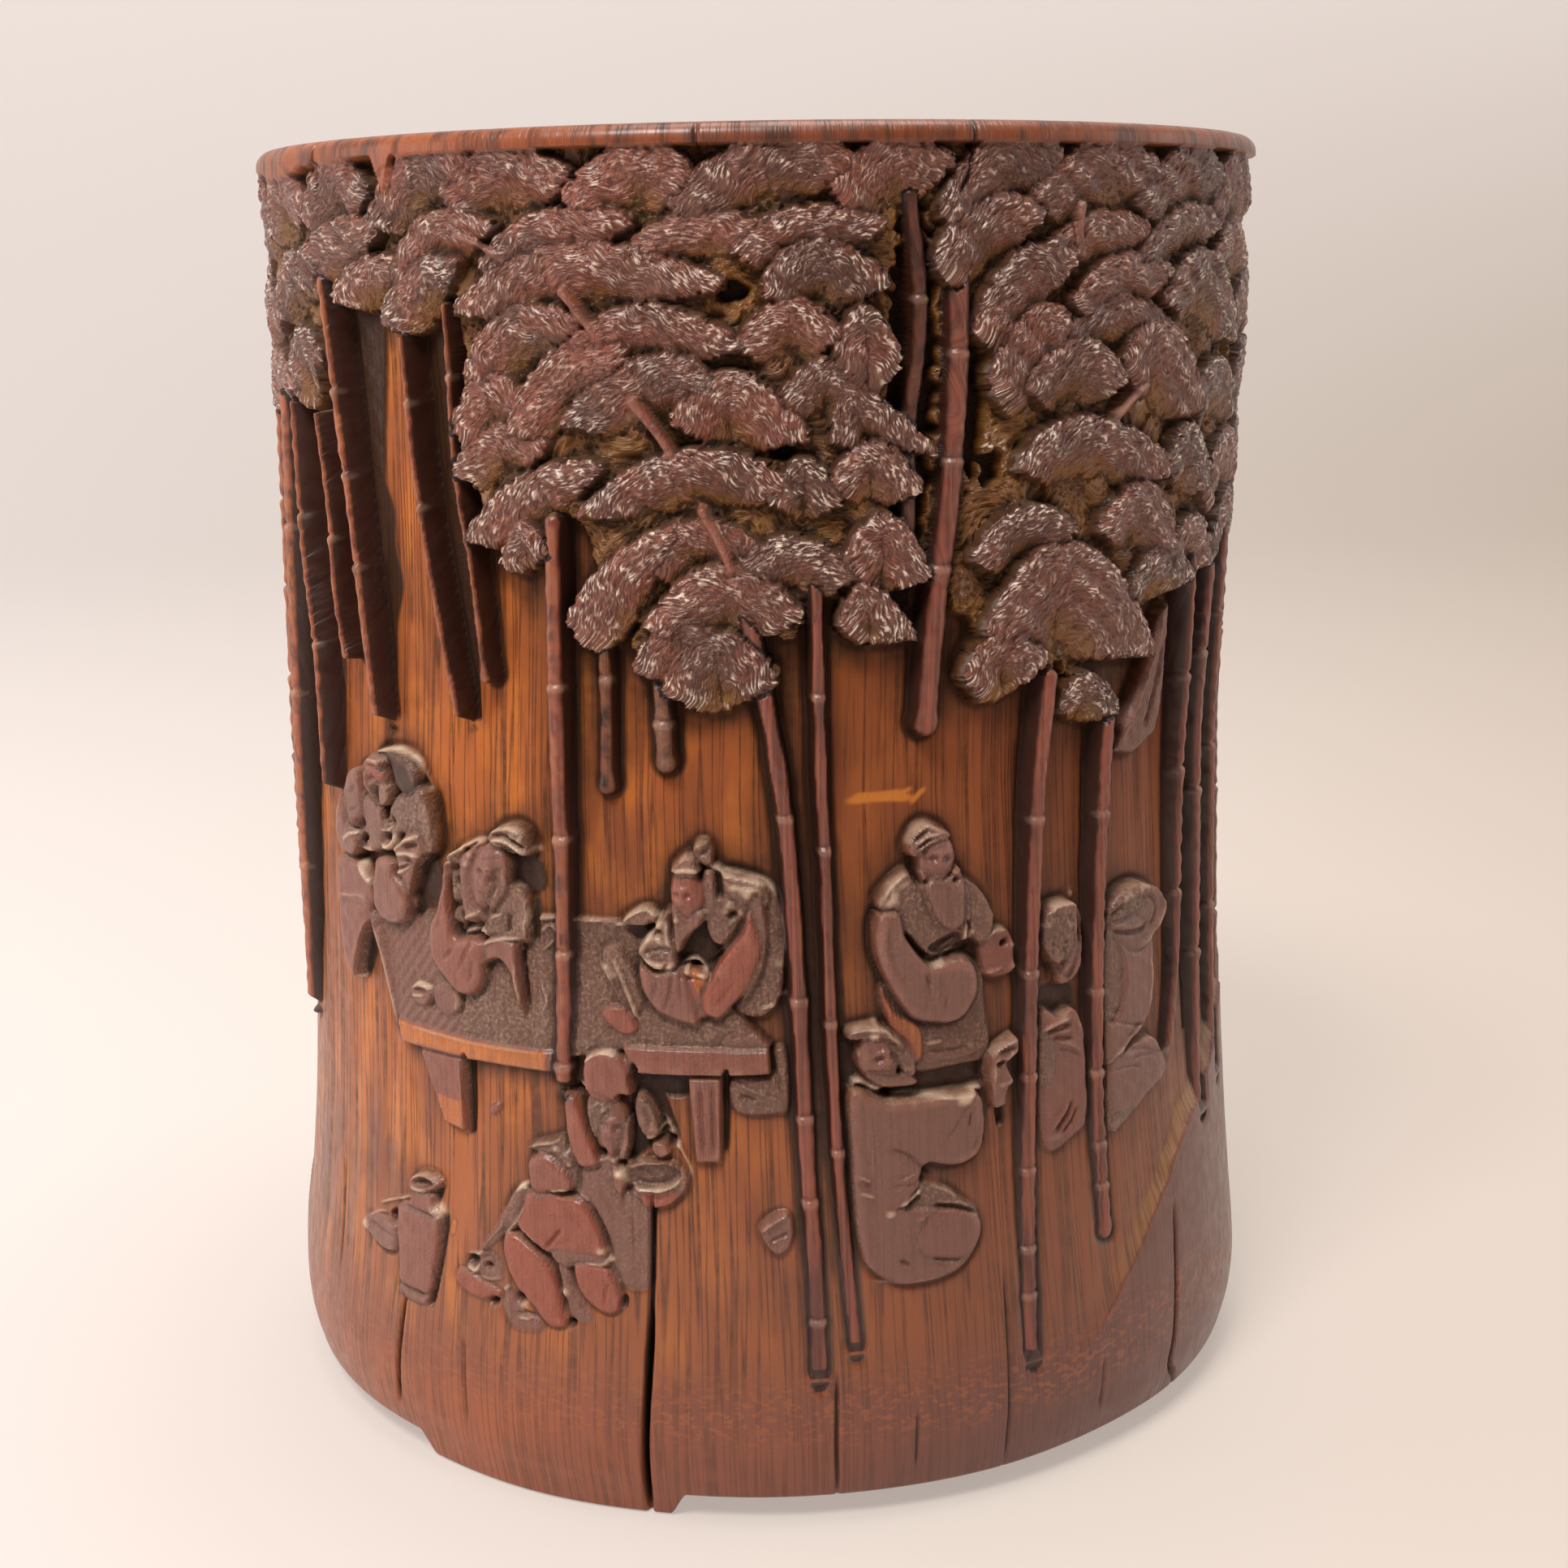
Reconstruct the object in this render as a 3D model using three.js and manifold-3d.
// A carved bamboo brush pot: one length of culm whose wall is cut back to leave a grove in relief,
// standing on three low feet, with a separate floor set on the ledge of the old node.
// Millimetres, +Z up. The origin is the middle of the ring the pot stands on, and the front faces -Y.

import * as THREE from "three";
import { mergeVertices } from "three/addons/utils/BufferGeometryUtils.js";
import Module from "manifold-3d";

const wasm = await Module();
wasm.setup();

// Driving dimensions of the culm
const HEIGHT = 165;
const ARC_RADIUS = 66; // the radius on which every arc length below is measured
const LIP_ROUND = 1.8;
const FOOT_RISE = 3.1; // how far the wall is cut up between the feet
const FOOT_STEP = 2.4; // arc length of the curved shoulder at each end of a foot
const FOOT_HALF_ANGLE = 15;
const FOOT_ANGLES = [-26.5, 93.5, 213.5];

// The culm's untouched outside: height, radius
const SKIN = [
  [0, 65.6], [3, 67.2], [8, 68.2], [14, 68.2], [22, 67.4], [32, 66.6],
  [45, 65.9], [65, 65.5], [90, 65.2], [120, 65.5], [145, 65.9], [165, 66],
];

// How far the culm's middle wanders sideways: height, offset along X
const BOW = [[0, 0], [25, 0], [60, -0.5], [90, -0.8], [110, -0.2], [140, 0.8], [165, 0.9]];

// How deep the ground behind the carving lies under the skin: height, depth
const GROUND = [[14, 0], [24, 0.5], [40, 1.3], [60, 2.2], [85, 3], [110, 4], [160, 4], [163, 0.3]];

// How deep the leaves lie that show between the leaf masses
const DEEP_LEAVES = 2.9;

// Inside: the bore, the rebate for the floor, the ledge under it and the hollow of the foot
const BORE_RIM = 58;
const BORE_FOOT = 56.2;
const LEDGE_TOP = 13;
const LEDGE_FOOT = 10;
const LEDGE_RADIUS = 50;
const FOOT_INNER = 57.5;
const FIT_GAP = 0.3;

// The floor and the bead of lacquer putty that seals it
const FLOOR_THICKNESS = 5;
const FLOOR_RADIUS = BORE_FOOT - 0.7;
const BEAD_WIDTH = 2.2;

const TRUNK_BELOW_SKIN = 0.3;

// The mesh of the wall: plain rows below, and twice the columns in the closer rows of the foliage
const COLUMNS = 52;
const PLAIN_ROWS = [0, 5, 9, 14, 24, 35, 47, 62, 80, 94];
const FOLIAGE_FOOT = 98;
const FOLIAGE_TOP = 162.9;
const FOLIAGE_ROWS = 19;
const PATCH_ARC = 0.8; // half the patch over which the foliage's depth is averaged, along the arc
const PATCH_HEIGHT = 0.5;

// The lower edge of the foliage: arc, height. It runs all the way round.
const CANOPY_EDGE = [
  [-207, 112], [-190, 120], [-172, 108], [-150, 118], [-132, 106], [-115, 121], [-98, 128],
  [-80, 133], [-68, 132], [-60, 147], [-42, 143], [-34, 119], [-25, 118], [-14, 103], [-4, 100],
  [4, 109], [16, 108], [22, 120], [27, 106], [36, 99], [46, 95], [54, 103], [60, 110], [82, 112],
  [100, 118], [118, 106], [136, 120], [154, 110], [172, 121], [190, 112], [207.4, 112],
];

// The bare bank at the lower right and round the back, left at the skin: arc, height of its top edge
const BANK_EDGE = [
  [-207, 50], [-186, 58], [-160, 52], [-138, 40], [-112, 30], [-92, 16], [-80, 0], [36, 0], [39, 13.5],
  [47.5, 22], [55.5, 29], [65, 37.5], [72.5, 41], [83.5, 48], [104, 56], [126, 60], [150, 50], [178, 43],
  [207.4, 50],
];

// Each trunk: its widest width, then its line as arc and height from the foliage down
const TRUNKS = [
  [4.6, [-79, 136], [-81, 96], [-84, 52]],
  [3, [-74.5, 134], [-73, 110], [-70.5, 85]],
  [3, [-68.5, 134], [-66, 110], [-65, 92]],
  [2.8, [-64, 134], [-62, 118], [-60, 103]],
  [3.2, [-62, 149], [-57, 124], [-52, 96]],
  [3.2, [-46, 147], [-42, 120], [-37.6, 98]],
  [2.4, [-39, 146], [-36, 124], [-33, 103]],
  [3, [-24.5, 122], [-24.4, 90], [-25, 54]],
  [2.8, [-18, 112], [-18, 91]],
  [3.4, [-11, 106], [-11, 94]],
  [3.2, [-1, 112], [4.2, 86], [4.9, 55], [4.8, 22]],
  [2.8, [6.6, 115], [7.6, 90], [8.2, 55], [10.4, 22]],
  [3.4, [22.8, 152], [23, 114], [21, 98]],
  [2.6, [17.4, 156], [18.4, 116]],
  [3, [38, 102], [34.6, 60], [33.4, 18]],
  [2.8, [48, 98], [46.8, 60], [46, 31]],
  [3, [69, 116], [66, 70], [64.5, 45]],
  [3.6, [76, 116], [74, 76], [73, 38]],
  [3.2, [84, 116], [83, 76], [82, 40]],
  [3.4, [94, 120], [92, 80], [93, 44]],
  [2.8, [103, 121], [105, 90], [104, 50]],
  [3.6, [117, 110], [114, 84], [115, 54]],
  [3.4, [136, 124], [137, 90], [134, 52]],
  [3, [148, 116], [146, 90], [147, 50]],
  [3.6, [170, 124], [171, 86], [168, 46]],
  [3, [184, 118], [182, 90], [184, 48]],
  [3.4, [198, 116], [200, 88], [198, 50]],
  [3.6, [-189, 123], [-186, 92], [-187, 58]],
  [3, [-175, 112], [-176, 84], [-174, 56]],
  [3.6, [-153, 120], [-151, 84], [-152, 49]],
  [3, [-139, 112], [-140, 80], [-138, 42]],
  [3.4, [-126, 112], [-123, 80], [-124, 36]],
  [3.4, [-104, 128], [-101, 90], [-103, 34]],
  [3, [-93, 132], [-93, 100], [-91, 60]],
];

// The leaf masses of the front: arc and height of the left end, the apex and the right end of each
// arched crest, then how far the mass hangs below it
const LEAF_MASSES = [
  [-100, 154.3, -90, 163.4, -79, 158.3, 9.2],
  [-84, 156.9, -75, 163.4, -64, 158.9, 8.2],
  [-66, 157.9, -58, 163.4, -50, 159.9, 8.2],
  [-98, 142, -88, 149, -76, 146, 8],
  [-80, 147, -72, 152.5, -62, 152, 7],
  [-71, 150, -60, 155.5, -48, 156, 7],
  [-95, 134, -84, 141, -72, 137, 7],
  [-76, 138, -70, 144, -63, 141, 8],
  [-59, 147.6, -52, 151.5, -44, 151, 4.6],
  [-50, 156.5, -42, 163.4, -32, 161.5, 7.2],
  [-38, 158.9, -30, 163.4, -21, 160.4, 7.2],
  [-22, 158.1, -14, 163.4, -7, 160.1, 7.2],
  [-10, 157, 0, 163.4, 11, 161.5, 7.2],
  [8, 158.3, 14, 163.4, 22, 161.3, 7.2],
  [20, 156.1, 27, 163.4, 36, 162.1, 8.2],
  [32, 157.5, 42, 163.4, 53, 160.5, 8.2],
  [48, 156.9, 59, 163.4, 70, 159.9, 8.2],
  [66, 157.3, 76, 163.4, 88, 158.3, 9.2],
  [-47, 150, -40, 156.5, -31, 155, 6],
  [-33, 151, -25, 156, -14, 155.5, 6],
  [-17, 150, -9, 155.5, 2, 154, 6],
  [-3, 152, 4, 156, 14, 154.5, 5.5],
  [19.5, 150.5, 25, 156.4, 34, 156, 7],
  [32, 150, 41, 155, 51, 154, 6],
  [48, 150, 58, 156, 69, 154.5, 6],
  [66, 149, 75, 155, 86, 150, 7],
  [-49, 145, -43, 151, -36, 151, 6],
  [-37, 146, -22, 152.5, -4, 148.5, 6.5],
  [0, 148, 6, 152.6, 14.5, 148.6, 6.5],
  [24.5, 143.5, 30, 151, 39, 151.5, 8],
  [38, 146, 46, 150.6, 56, 149, 6.5],
  [54, 146, 66, 151, 79, 140.5, 8],
  [76, 143, 86, 149, 98, 143, 8],
  [-36, 139, -30, 145.5, -20, 145, 7],
  [-22, 142, -13, 146, -2, 142, 6],
  [-3, 142, 3, 146.5, 9, 143, 6],
  [8, 140, 11.5, 145.5, 16, 140, 8],
  [26.5, 138, 32, 144.6, 38, 144, 9],
  [37, 142, 46, 146, 56, 143, 6],
  [-38, 133, -34, 138.5, -28, 137, 7],
  [-30, 133, -24, 141, -15, 141.5, 7],
  [2, 136, 7, 140, 12, 137, 6],
  [46.5, 139, 55, 143, 66, 133, 9],
  [64, 134, 72, 138, 84, 132, 8],
  [80, 134, 90, 140, 102, 134, 9],
  [-23, 134, -13, 140.6, -5, 138, 7],
  [31.5, 137, 39, 141.4, 47.5, 137, 7],
  [-10, 134, -3, 138.8, 5.5, 132, 7],
  [8, 131, 11, 136.5, 20.5, 129.5, 5],
  [-38, 128, -32, 133, -25, 131, 6],
  [57, 126, 63, 130.6, 71, 122.6, 7],
  [31, 128, 42, 132.4, 59.5, 125.5, 7],
  [68, 122, 78, 129, 92, 123, 9],
  [88, 124, 98, 131, 108, 126, 9],
  [8, 127, 13, 130.8, 19, 126, 6],
  [1, 125, 5, 129.3, 9.5, 124.5, 5.5],
  [-36, 120.5, -28, 127.4, -18, 129, 6],
  [-21, 123.5, -8, 130.3, 5, 126, 6],
  [-31.5, 117.5, -28.5, 122, -24.8, 119, 4.5],
  [44, 120, 53, 124, 61, 116.5, 7.5],
  [25.5, 117.6, 32, 122.6, 40.5, 120, 6],
  [58, 114, 66, 119, 75, 113, 6.5],
  [72, 114, 83, 121, 96, 115, 8],
  [-13, 118, -8, 122.6, 0, 120, 6],
  [9.5, 117.5, 14.5, 122.8, 20.3, 116, 7],
  [-2.5, 117.6, 4, 120.6, 11.5, 116.6, 6.5],
  [-22.5, 111.5, -17, 118.4, -9.5, 122, 8],
  [50, 111, 57, 115.8, 67, 111.6, 5.5],
  [9.5, 111, 12.5, 115, 18.8, 109, 5.5],
  [27.5, 109.5, 40, 118, 56.5, 104, 11],
  [-14.5, 106, -10, 112, -5, 110, 6],
  [25, 104, 30, 108.6, 37, 105, 7],
  [-11, 104, -5, 110, 2.5, 105, 7.5],
  [-13, 111, -4, 117.6, 5.2, 112, 7.5],
  [39, 99, 44, 102, 50.2, 97, 5],
];

// The leaf masses of the back, in rows like scales
const FAR_ROWS = 7;
const FAR_TOP = 162.6;
const FAR_ROW_STEP = 7;
const FAR_FIRST = 106;
const FAR_STEP = 16.4;
const FAR_COUNT = 13;

// How deep a leaf mass lies at its crest and at its foot, and how far it hangs as a share of its thickness
const LEAF_CREST = 0.4;
const LEAF_FOOT = 2.7;
const LEAF_HANG = 1.3;

// The carved masses in front of the ground, each as its middle, its outline in arc and height, and how
// deep its crown lies: the body and the head of each person, then the table's top, its front edge and
// its legs, and the vessels on the ground
const MASSES = [
  [[-55, 78], [[-49, 70], [-56, 70], [-61, 61.5], [-65, 70], [-65, 80], [-60, 88], [-50, 88], [-45, 80]]],
  [[-53.4, 89], [[-51, 85.4], [-56, 85.6], [-57, 90], [-54, 93.2], [-50, 93], [-48.6, 89]]],
  [[-36, 72], [[-37, 64], [-42, 64.5], [-45, 70], [-42, 79], [-30, 79], [-29, 71.5], [-35, 69]]],
  [[-35, 80.4], [[-36, 74.4], [-40, 78], [-39, 83], [-33, 86], [-29, 84.6], [-31, 79]]],
  [[-5, 71], [[-6, 63.8], [-13, 64.6], [-15, 70], [-10, 76], [-3, 82], [2.4, 78.6], [-1.4, 65.6]]],
  [[-8.3, 78.6], [[-8.6, 72.4], [-10.6, 75], [-10.8, 81.4], [-8.4, 83.4], [-6, 81.6], [-6.2, 76]]],
  [[21, 71], [[23, 62], [16, 65], [13.8, 72], [15.6, 79], [26, 78.6], [29.8, 73], [27.6, 66]]],
  [[21.7, 81], [[22.4, 74.4], [19, 78], [18.2, 84], [20.6, 86.2], [24.2, 84.4], [25, 79]]],
  [[40.5, 52], [[44, 44.4], [37, 44.4], [36.6, 58], [39.6, 60.4], [44.2, 57.6]]],
  [[40.8, 68.6], [[41.2, 63.6], [38.4, 67.6], [38, 73], [43.8, 73.6], [43.2, 68]]],
  [[54, 56], [[61, 46.6], [50, 43.6], [48, 54], [49, 66], [57, 66], [61.6, 49.6]]],
  [[54.6, 69.4], [[56, 65], [50, 67.4], [48.4, 70], [51, 73], [57.6, 72.8], [62, 69.4]]],
  [[17, 43], [[24, 30.6], [13, 31], [10.4, 40], [10.2, 54], [20, 53], [27.6, 50], [19, 43], [26.6, 37]]],
  [[14.4, 58.2], [[14.6, 54.4], [11, 56], [10.2, 61], [14, 62.3], [17.8, 57]]],
  [[-18, 46], [[-10, 41.4], [-17.4, 41], [-24, 44.6], [-25.2, 52], [-15, 54], [-9.6, 45.4]]],
  [[-19.4, 53], [[-19.2, 46.4], [-22, 50], [-22.2, 57], [-19.6, 59.4], [-17, 57.6], [-16.6, 50.4]]],
  [[-27, 33], [[-26, 23.6], [-31, 26], [-34.6, 33], [-31, 40], [-25, 40], [-19.4, 34], [-19.4, 26]]],
  [[-27.8, 43.6], [[-27.4, 40.2], [-30.8, 42], [-30.4, 46], [-27.4, 47.8], [-24.4, 43]]],
  [[-26, 66], [[0, 58], [-51, 58], [-57, 72], [-40, 75], [-5, 74]], 1.5],
  [[-25, 58], [[0.6, 56.8], [-50.8, 56], [-51, 59.8], [0.6, 60.2]]],
  [[-42, 51], [[-39, 46], [-44, 47], [-47, 57], [-38, 57]]],
  [[-8, 51], [[-5, 46], [-10, 46], [-12, 58], [-4, 58]]],
  [[-49, 31], [[-47, 21.5], [-52, 23], [-54, 33], [-51, 39], [-45, 38], [-44, 32]]],
  [[-58, 30], [[-55, 25], [-61, 26], [-62, 32], [-57, 35], [-54, 32]]],
  [[-38, 28], [[-36, 24], [-41, 25], [-42, 29], [-38, 31], [-35, 29]]],
];
const MASS_BELOW_SKIN = 0.4;
const MASS_SHOULDER = 0.55; // how deep the top of its sides lies, as a share of the ground's depth

// A straight-line reading of a table of pairs, held level past both ends
function reading(table, at) {
  if (at <= table[0][0]) return table[0][1];
  for (let i = 1; i < table.length; i++) {
    const [x0, y0] = table[i - 1];
    const [x1, y1] = table[i];
    if (at <= x1) return y0 + ((at - x0) / (x1 - x0)) * (y1 - y0);
  }
  return table[table.length - 1][1];
}

const radians = (degrees) => (degrees * Math.PI) / 180;
const smooth = (t) => t * t * (3 - 2 * t);
const clamped = (t) => Math.min(1, Math.max(0, t));

// An arc length brought to within half the girth of the front's middle
const wrapped = (arc) => arc - Math.round(arc / (2 * Math.PI * ARC_RADIUS)) * 2 * Math.PI * ARC_RADIUS;

// The leaf masses that the back carries, worked out row by row and thinned by the foliage's lower edge
function farLeafMasses() {
  const masses = [];
  for (let row = 0; row < FAR_ROWS; row++) {
    for (let i = 0; i < FAR_COUNT; i++) {
      const arc = FAR_FIRST + FAR_STEP * (i + 0.5 * (row % 2)) + 2.2 * Math.sin(2.3 * i + 1.7 * row);
      const top = FAR_TOP - FAR_ROW_STEP * row + (row > 0 ? Math.sin(1.3 * i + 2.9 * row) : 0);
      const half = 10.4 + 1.4 * Math.sin(3.1 * i + row);
      const lift = 5 + 1.2 * Math.sin(1.9 * i + 2.7 * row);
      const lean = 1.5 * Math.sin(4.7 * i + row);
      const thick = 8 + Math.sin(5.3 * i + 0.9 * row);
      if (top > reading(CANOPY_EDGE, wrapped(arc)) + 4) {
        masses.push([arc - half, top - lift - lean, arc, top, arc + half, top - lift + lean, thick]);
      }
    }
  }
  return masses;
}

// The nearest leaf at a point, as its depth under the skin: each mass is upright at its arched crest
// and slopes in to its foot
function leavesAt(masses, arc, z) {
  let depth = DEEP_LEAVES;
  for (const [leftArc, leftZ, apexArc, apexZ, rightArc, rightZ, thick] of masses) {
    const along = (wrapped(arc - leftArc) / (rightArc - leftArc)) * 2 - 1;
    if (Math.abs(along) >= 1) continue;
    const apex = ((apexArc - leftArc) / (rightArc - leftArc)) * 2 - 1;
    const level = leftZ + ((rightZ - leftZ) * (along + 1)) / 2;
    const rise = apexZ - (leftZ + ((rightZ - leftZ) * (apex + 1)) / 2);
    const under = level + (rise * (1 - along * along)) / (1 - apex * apex) - z;
    if (under < 0 || under > LEAF_HANG * thick * Math.sqrt(1 - along * along)) continue;
    const sunk = smooth(clamped((under / thick - 0.3) / 0.9));
    depth = Math.min(depth, LEAF_CREST + (LEAF_FOOT - LEAF_CREST) * sunk);
  }
  return depth;
}

// How deep the outside lies under the skin: nothing on the bank, the ground elsewhere
function groundAt(arc, z) {
  return reading(GROUND, z) * clamped((z - reading(BANK_EDGE, arc)) / 3);
}

// The same in the rows of the foliage, as a mean over a small patch round the vertex
function foliageAt(masses, arc, z) {
  let sum = 0;
  let count = 0;
  for (const across of [-PATCH_ARC, 0, PATCH_ARC]) {
    for (const up of [-PATCH_HEIGHT, 0, PATCH_HEIGHT]) {
      const shares = clamped((z + up - reading(CANOPY_EDGE, wrapped(arc + across))) / 1.5);
      const ground = groundAt(arc, z + up);
      sum += ground + (Math.min(ground, leavesAt(masses, arc + across, z + up)) - ground) * shares;
      count += 1;
    }
  }
  return sum / count;
}

// The wall's rows as a closed loop, from the foot up the outside, over the lip and down the bore: each
// one is its height, its number of columns and its radius at an arc
function wallRows() {
  const masses = [...LEAF_MASSES, ...farLeafMasses()];
  const skin = reading(SKIN, HEIGHT);
  const plain = PLAIN_ROWS.map((z) => [z, COLUMNS, (arc) => reading(SKIN, z) - groundAt(arc, z)]);
  const foliage = [];
  for (let i = 0; i <= FOLIAGE_ROWS; i++) {
    const z = FOLIAGE_FOOT + ((FOLIAGE_TOP - FOLIAGE_FOOT) * i) / FOLIAGE_ROWS;
    foliage.push([z, 2 * COLUMNS, (arc) => reading(SKIN, z) - foliageAt(masses, arc, z)]);
  }
  const inside = [
    [skin, HEIGHT - LIP_ROUND],
    [skin - LIP_ROUND * 0.3, HEIGHT - LIP_ROUND * 0.3],
    [skin - LIP_ROUND, HEIGHT],
    [BORE_RIM + LIP_ROUND, HEIGHT],
    [BORE_RIM + LIP_ROUND * 0.3, HEIGHT - LIP_ROUND * 0.3],
    [BORE_RIM, HEIGHT - LIP_ROUND],
    [BORE_RIM - 1, HEIGHT * 0.55],
    [BORE_FOOT, LEDGE_TOP + FLOOR_THICKNESS + 8],
    [BORE_FOOT, LEDGE_TOP],
    [LEDGE_RADIUS, LEDGE_TOP],
    [LEDGE_RADIUS, LEDGE_FOOT],
    [FOOT_INNER - 2, LEDGE_FOOT - 2.5],
    [FOOT_INNER, 0],
  ];
  return [...plain, ...foliage, ...inside.map(([radius, z]) => [z, COLUMNS, () => radius])];
}

// A mesh of points, given as one list of coordinates, and the triangles between them
function meshOf(position, index) {
  const geometry = new THREE.BufferGeometry();
  geometry.setAttribute("position", new THREE.Float32BufferAttribute(position, 3));
  geometry.setIndex(index);
  return geometry;
}

// A point of the outside or the bore: the front faces -Y
function placed(radius, angle, z) {
  return [reading(BOW, z) + radius * Math.sin(angle), -radius * Math.cos(angle), z];
}

// The culm before its feet are cut: rows of points joined into bands, three triangles where a row with
// twice the columns meets a plain one
function culmShell() {
  const position = [];
  const starts = [];
  const rows = wallRows();
  for (const [z, columns, radiusAt] of rows) {
    starts.push(position.length / 3);
    for (let i = 0; i < columns; i++) {
      const angle = (i / columns) * 2 * Math.PI;
      position.push(...placed(radiusAt(wrapped(angle * ARC_RADIUS)), angle, z));
    }
  }
  const index = [];
  rows.forEach(([, columns], row) => {
    const above = (row + 1) % rows.length;
    const columnsAbove = rows[above][1];
    const low = (i) => starts[row] + (i % columns);
    const high = (i) => starts[above] + (i % columnsAbove);
    for (let i = 0; i < COLUMNS; i++) {
      if (columns === columnsAbove) {
        for (let k = i * (columns / COLUMNS); k < (i + 1) * (columns / COLUMNS); k++) {
          index.push(low(k), low(k + 1), high(k + 1), low(k), high(k + 1), high(k));
        }
      } else if (columns < columnsAbove) {
        index.push(low(i), high(2 * i + 1), high(2 * i), low(i), low(i + 1), high(2 * i + 1));
        index.push(low(i + 1), high(2 * i + 2), high(2 * i + 1));
      } else {
        index.push(low(2 * i), low(2 * i + 1), high(i), low(2 * i + 1), high(i + 1), high(i));
        index.push(low(2 * i + 1), low(2 * i + 2), high(i + 1));
      }
    }
  });
  return meshOf(position, index);
}

// The space under one of the shallow arches between the feet, as a block to cut away
function footArch(fromAngle, toAngle) {
  const INNER = 40;
  const OUTER = 80;
  const BELOW = -2;
  const START_BELOW = 0.1;
  const span = (toAngle - fromAngle) * ARC_RADIUS;
  const steps = [0, 0.35, 0.7, 1].map((share) => share * FOOT_STEP);
  const arcs = [...steps, span / 4, span / 2, (span * 3) / 4, ...steps.map((step) => span - step).reverse()];
  const position = [];
  for (const arc of arcs) {
    const rise = FOOT_RISE * smooth(clamped(Math.min(arc, span - arc) / FOOT_STEP)) - START_BELOW;
    const angle = fromAngle + arc / ARC_RADIUS;
    for (const [radius, z] of [[INNER, BELOW], [OUTER, BELOW], [OUTER, rise], [INNER, rise]]) {
      position.push(...placed(radius, angle, z));
    }
  }
  const index = [0, 2, 3, 0, 1, 2];
  for (let i = 0; i < arcs.length - 1; i++) {
    for (let k = 0; k < 4; k++) {
      const next = (k + 1) % 4;
      const [a, b, c, d] = [i * 4 + k, i * 4 + next, i * 4 + 4 + next, i * 4 + 4 + k];
      index.push(a, c, b, a, d, c);
    }
  }
  const last = (arcs.length - 1) * 4;
  index.push(last, last + 2, last + 1, last, last + 3, last + 2);
  return meshOf(position, index);
}

// One trunk: a five-sided stem, half sunk in the ground, that thickens towards its foot
function trunk([width, ...line]) {
  const SIDES = 5;
  const JOINT_SPACING = 26;
  const points = [];
  for (let i = 1; i < line.length; i++) {
    const [a0, z0] = line[i - 1];
    const [a1, z1] = line[i];
    const steps = Math.max(1, Math.round((z0 - z1) / JOINT_SPACING));
    for (let k = i === 1 ? 0 : 1; k <= steps; k++) {
      points.push([a0 + ((a1 - a0) * k) / steps, z0 + ((z1 - z0) * k) / steps]);
    }
  }
  const position = [];
  points.forEach(([arc, z], i) => {
    const half = (width / 2) * (0.8 + (0.25 * i) / points.length);
    const deep = Math.max(1.6, reading(GROUND, z) * 0.5 + 0.7);
    const middle = reading(SKIN, z) - TRUNK_BELOW_SKIN - deep;
    for (let k = 0; k < SIDES; k++) {
      const turn = (k / SIDES) * 2 * Math.PI;
      const radius = middle + deep * Math.cos(turn);
      position.push(...placed(radius, (arc + half * Math.sin(turn)) / ARC_RADIUS, z));
    }
  });
  const index = [];
  for (let i = 0; i < points.length - 1; i++) {
    for (let k = 0; k < SIDES; k++) {
      const next = (k + 1) % SIDES;
      const [a, b, c, d] = [i * SIDES + k, i * SIDES + next, (i + 1) * SIDES + next, (i + 1) * SIDES + k];
      index.push(a, c, b, a, d, c);
    }
  }
  const last = (points.length - 1) * SIDES;
  for (let k = 1; k < SIDES - 1; k++) {
    index.push(0, k, k + 1);
    index.push(last, last + k + 1, last + k);
  }
  return meshOf(position, index);
}

// One carved mass: upright sides to its shoulder, then a low crown over its middle
function mass([middle, outline, crown = MASS_BELOW_SKIN]) {
  const [middleArc, middleZ] = middle;
  const position = [];
  const ring = (grow, below) => {
    for (const [arc, z] of outline) {
      const at = middleZ + (z - middleZ) * grow;
      const radius = reading(SKIN, at) - below(reading(GROUND, at));
      position.push(...placed(radius, (middleArc + (arc - middleArc) * grow) / ARC_RADIUS, at));
    }
  };
  ring(1, (ground) => ground + 1.2);
  ring(1, (ground) => ground * MASS_SHOULDER);
  ring(0.6, () => crown);
  for (const below of [crown - MASS_BELOW_SKIN / 2, reading(GROUND, middleZ) + 1.2]) {
    position.push(...placed(reading(SKIN, middleZ) - below, middleArc / ARC_RADIUS, middleZ));
  }
  const count = outline.length;
  const index = [];
  for (let k = 0; k < count; k++) {
    const next = (k + 1) % count;
    for (const base of [0, count]) {
      index.push(base + k, base + count + next, base + next);
      index.push(base + k, base + count + k, base + count + next);
    }
    index.push(2 * count + k, 3 * count, 2 * count + next);
    index.push(k, next, 3 * count + 1);
  }
  return meshOf(position, index);
}

function solidOf(geometry) {
  const bare = geometry.clone();
  bare.deleteAttribute("normal");
  bare.deleteAttribute("uv");
  const merged = mergeVertices(bare, 1e-4);
  return new wasm.Manifold(
    new wasm.Mesh({
      numProp: 3,
      vertProperties: merged.attributes.position.array,
      triVerts: new Uint32Array(merged.index.array),
    }),
  );
}

function geometryOf(solid) {
  const { vertProperties, triVerts } = solid.getMesh();
  const geometry = new THREE.BufferGeometry();
  geometry.setAttribute("position", new THREE.BufferAttribute(vertProperties, 3));
  geometry.setIndex(new THREE.BufferAttribute(triVerts, 1));
  geometry.computeVertexNormals();
  return geometry;
}

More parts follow.
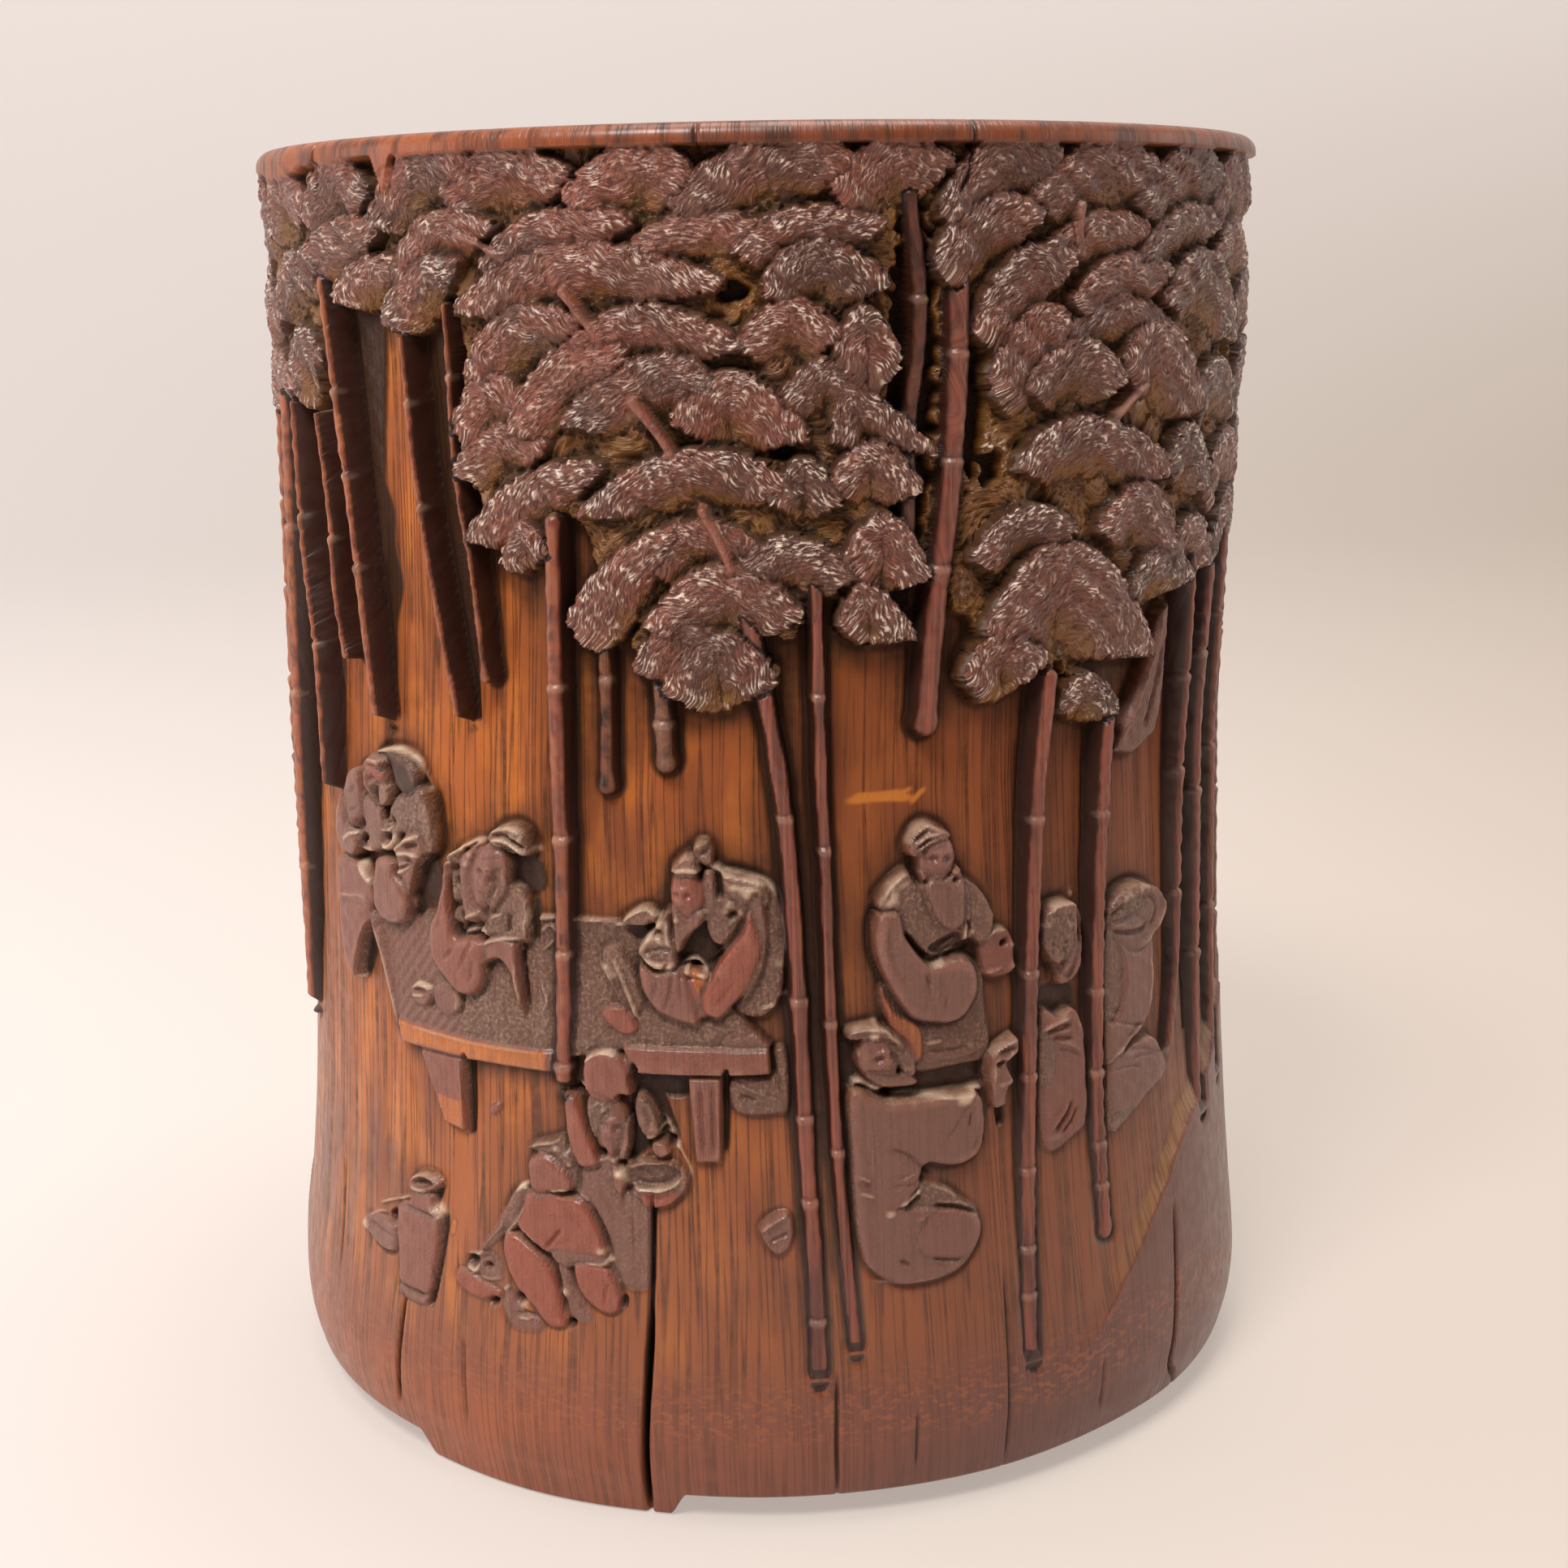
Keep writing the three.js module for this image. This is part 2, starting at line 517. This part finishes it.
// The carved culm: the shell with every trunk and mass left standing on its ground, and its feet cut
function carvedCulm() {
  const raised = [...TRUNKS.map(trunk), ...MASSES.map(mass)];
  const whole = raised.reduce((made, geometry) => made.add(solidOf(geometry)), solidOf(culmShell()));
  const cut = FOOT_ANGLES.reduce((made, angle, i) => {
    const next = i + 1 < FOOT_ANGLES.length ? FOOT_ANGLES[i + 1] : FOOT_ANGLES[0] + 360;
    const arch = footArch(radians(angle + FOOT_HALF_ANGLE), radians(next - FOOT_HALF_ANGLE));
    return made.subtract(solidOf(arch));
  }, whole);
  return geometryOf(cut);
}

function floorDisc() {
  const underside = LEDGE_TOP + FIT_GAP;
  const edge = 0.6;
  const profile = [
    [0, underside],
    [FLOOR_RADIUS - edge, underside],
    [FLOOR_RADIUS, underside + edge],
    [FLOOR_RADIUS, underside + FLOOR_THICKNESS - edge],
    [FLOOR_RADIUS - edge, underside + FLOOR_THICKNESS],
    [BORE_FOOT - FIT_GAP - BEAD_WIDTH - 1, underside + FLOOR_THICKNESS],
    [0, underside + FLOOR_THICKNESS],
  ];
  return new THREE.LatheGeometry(profile.map(([r, z]) => new THREE.Vector2(r, z)), 72);
}

function floorBead() {
  const outer = BORE_FOOT - FIT_GAP;
  const foot = LEDGE_TOP + FIT_GAP + FLOOR_THICKNESS + FIT_GAP;
  const profile = [
    [outer - BEAD_WIDTH, foot],
    [outer, foot],
    [outer, foot + BEAD_WIDTH],
    [outer - BEAD_WIDTH * 0.62, foot + BEAD_WIDTH * 0.38],
    [outer - BEAD_WIDTH, foot],
  ];
  return new THREE.LatheGeometry(profile.map(([r, z]) => new THREE.Vector2(r, z)), 72);
}

const culmBamboo = new THREE.MeshStandardMaterial({ color: 0x8a4522, roughness: 0.42, metalness: 0 });
const floorBamboo = new THREE.MeshStandardMaterial({ color: 0x7a4a28, roughness: 0.6, metalness: 0 });
const lacquerPutty = new THREE.MeshStandardMaterial({ color: 0x2a1510, roughness: 0.5, metalness: 0 });

function named(name, geometry, material) {
  const mesh = new THREE.Mesh(geometry, material);
  mesh.name = name;
  return mesh;
}

// A lathe turns about its own Y, so the turned pieces stand up in a group of their own
const turned = new THREE.Group();
turned.rotation.x = Math.PI / 2;
turned.add(named("floor_disc", floorDisc(), floorBamboo));
turned.add(named("floor_bead", floorBead(), lacquerPutty));

const pot = new THREE.Group();
pot.add(named("culm_wall", carvedCulm(), culmBamboo));
pot.add(turned);

export default pot;
